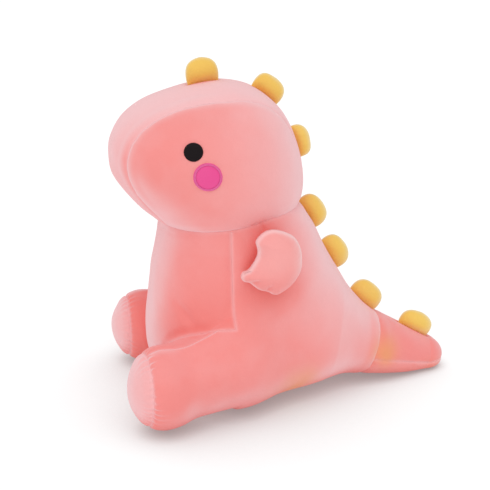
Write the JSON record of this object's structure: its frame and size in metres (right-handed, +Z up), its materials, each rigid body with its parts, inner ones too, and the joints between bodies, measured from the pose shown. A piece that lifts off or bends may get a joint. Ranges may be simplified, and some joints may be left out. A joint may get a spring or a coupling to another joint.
{
  "type": "stuffed dinosaur",
  "caption": "Sitting plush dinosaur with a large rounded head, flipper arms, stub legs with round soles, a tapered tail and a row of padded back spikes.",
  "frame": {"origin": "on the ground plane under the body, on the plane of symmetry", "axes": "+Z up, the animal faces -Y, its own left side is +X"},
  "size_m": [0.2726, 0.4006, 0.3819],
  "materials": {
    "pink_plush": "short velvet pile, soft sheen",
    "yellow_plush": "short velvet pile, soft sheen",
    "eye_thread": "satin-stitch embroidery",
    "cheek_fabric": "short velvet pile",
    "cheek_thread": "satin-stitch embroidery",
    "claw_thread": "twisted sewing thread",
    "stuffing": "white polyester fibre"
  },
  "bodies": {
    "torso": {"belly_panel": "pink_plush", "side_panel_left": "pink_plush", "side_panel_right": "pink_plush", "leg_inner_panel_left": "pink_plush", "leg_inner_panel_right": "pink_plush", "sole_left": "pink_plush", "sole_right": "pink_plush", "base_panel": "pink_plush", "torso_stuffing": "stuffing", "leg_stuffing_left": "stuffing", "leg_stuffing_right": "stuffing"},
    "head": {"head_side_left": "pink_plush", "head_side_right": "pink_plush", "head_gusset": "pink_plush", "head_stuffing": "stuffing", "eye_left": "eye_thread", "eye_right": "eye_thread", "cheek_left": "cheek_fabric", "cheek_right": "cheek_fabric", "cheek_edge_stitch_left": "cheek_thread", "cheek_edge_stitch_right": "cheek_thread"},
    "tail": {"tail_panel_left": "pink_plush", "tail_panel_right": "pink_plush", "tail_base_gusset": "pink_plush", "tail_stuffing": "stuffing"},
    "arm_left": {"arm_outer_left": "pink_plush", "arm_inner_left": "pink_plush", "arm_stuffing_left": "stuffing", "claw_stitches_left": "claw_thread"},
    "arm_right": {"arm_outer_right": "pink_plush", "arm_inner_right": "pink_plush", "arm_stuffing_right": "stuffing", "claw_stitches_right": "claw_thread"},
    "spike_1": {"spike_1_cover": "yellow_plush", "spike_1_stuffing": "stuffing"},
    "spike_2": {"spike_2_cover": "yellow_plush", "spike_2_stuffing": "stuffing"},
    "spike_3": {"spike_3_cover": "yellow_plush", "spike_3_stuffing": "stuffing"},
    "spike_4": {"spike_4_cover": "yellow_plush", "spike_4_stuffing": "stuffing"},
    "spike_5": {"spike_5_cover": "yellow_plush", "spike_5_stuffing": "stuffing"},
    "spike_6": {"spike_6_cover": "yellow_plush", "spike_6_stuffing": "stuffing"},
    "spike_7": {"spike_7_cover": "yellow_plush", "spike_7_stuffing": "stuffing"}
  },
  "joints": [
    {"name": "head_nod", "type": "hinge", "parent": "torso", "child": "head", "pos_m": [0, -0.001, 0.165], "axis": [1, 0, 0], "range_deg": [-7, 7], "stiffness_Nm_per_rad": 1.5},
    {"name": "tail_swing", "type": "hinge", "parent": "torso", "child": "tail", "pos_m": [0, 0.16, 0.04], "axis": [0, 0, 1], "range_deg": [-12, 12], "stiffness_Nm_per_rad": 0.5},
    {"name": "arm_left_flap", "type": "hinge", "parent": "torso", "child": "arm_left", "pos_m": [0.091, 0.019, 0.205], "axis": [0, -1, 0], "range_deg": [0, 45], "stiffness_Nm_per_rad": 0.03},
    {"name": "arm_right_flap", "type": "hinge", "parent": "torso", "child": "arm_right", "pos_m": [-0.091, 0.019, 0.205], "axis": [0, 1, 0], "range_deg": [0, 45], "stiffness_Nm_per_rad": 0.03},
    {"name": "spike_1_sway", "type": "hinge", "parent": "head", "child": "spike_1", "pos_m": [0, -0.0329, 0.3579], "axis": [0, 0.9972, 0.075], "range_deg": [-14, 14], "stiffness_Nm_per_rad": 0.01},
    {"name": "spike_2_sway", "type": "hinge", "parent": "head", "child": "spike_2", "pos_m": [0, 0.0346, 0.341], "axis": [0, 0.7986, -0.6018], "range_deg": [-14, 14], "stiffness_Nm_per_rad": 0.01},
    {"name": "spike_3_sway", "type": "hinge", "parent": "head", "child": "spike_3", "pos_m": [0, 0.07, 0.2871], "axis": [0, 0.3256, -0.9455], "range_deg": [-14, 14], "stiffness_Nm_per_rad": 0.01},
    {"name": "spike_4_sway", "type": "hinge", "parent": "torso", "child": "spike_4", "pos_m": [0, 0.089, 0.2012], "axis": [0, 0.5284, -0.849], "range_deg": [-14, 14], "stiffness_Nm_per_rad": 0.01},
    {"name": "spike_5_sway", "type": "hinge", "parent": "torso", "child": "spike_5", "pos_m": [0, 0.1164, 0.15], "axis": [0, 0.5446, -0.8387], "range_deg": [-14, 14], "stiffness_Nm_per_rad": 0.01},
    {"name": "spike_6_sway", "type": "hinge", "parent": "torso", "child": "spike_6", "pos_m": [0, 0.1592, 0.092], "axis": [0, 0.7349, -0.6782], "range_deg": [-14, 14], "stiffness_Nm_per_rad": 0.01},
    {"name": "spike_7_sway", "type": "hinge", "parent": "tail", "child": "spike_7", "pos_m": [0, 0.2265, 0.0483], "axis": [0, 0.8678, -0.497], "range_deg": [-14, 14], "stiffness_Nm_per_rad": 0.01}
  ]
}
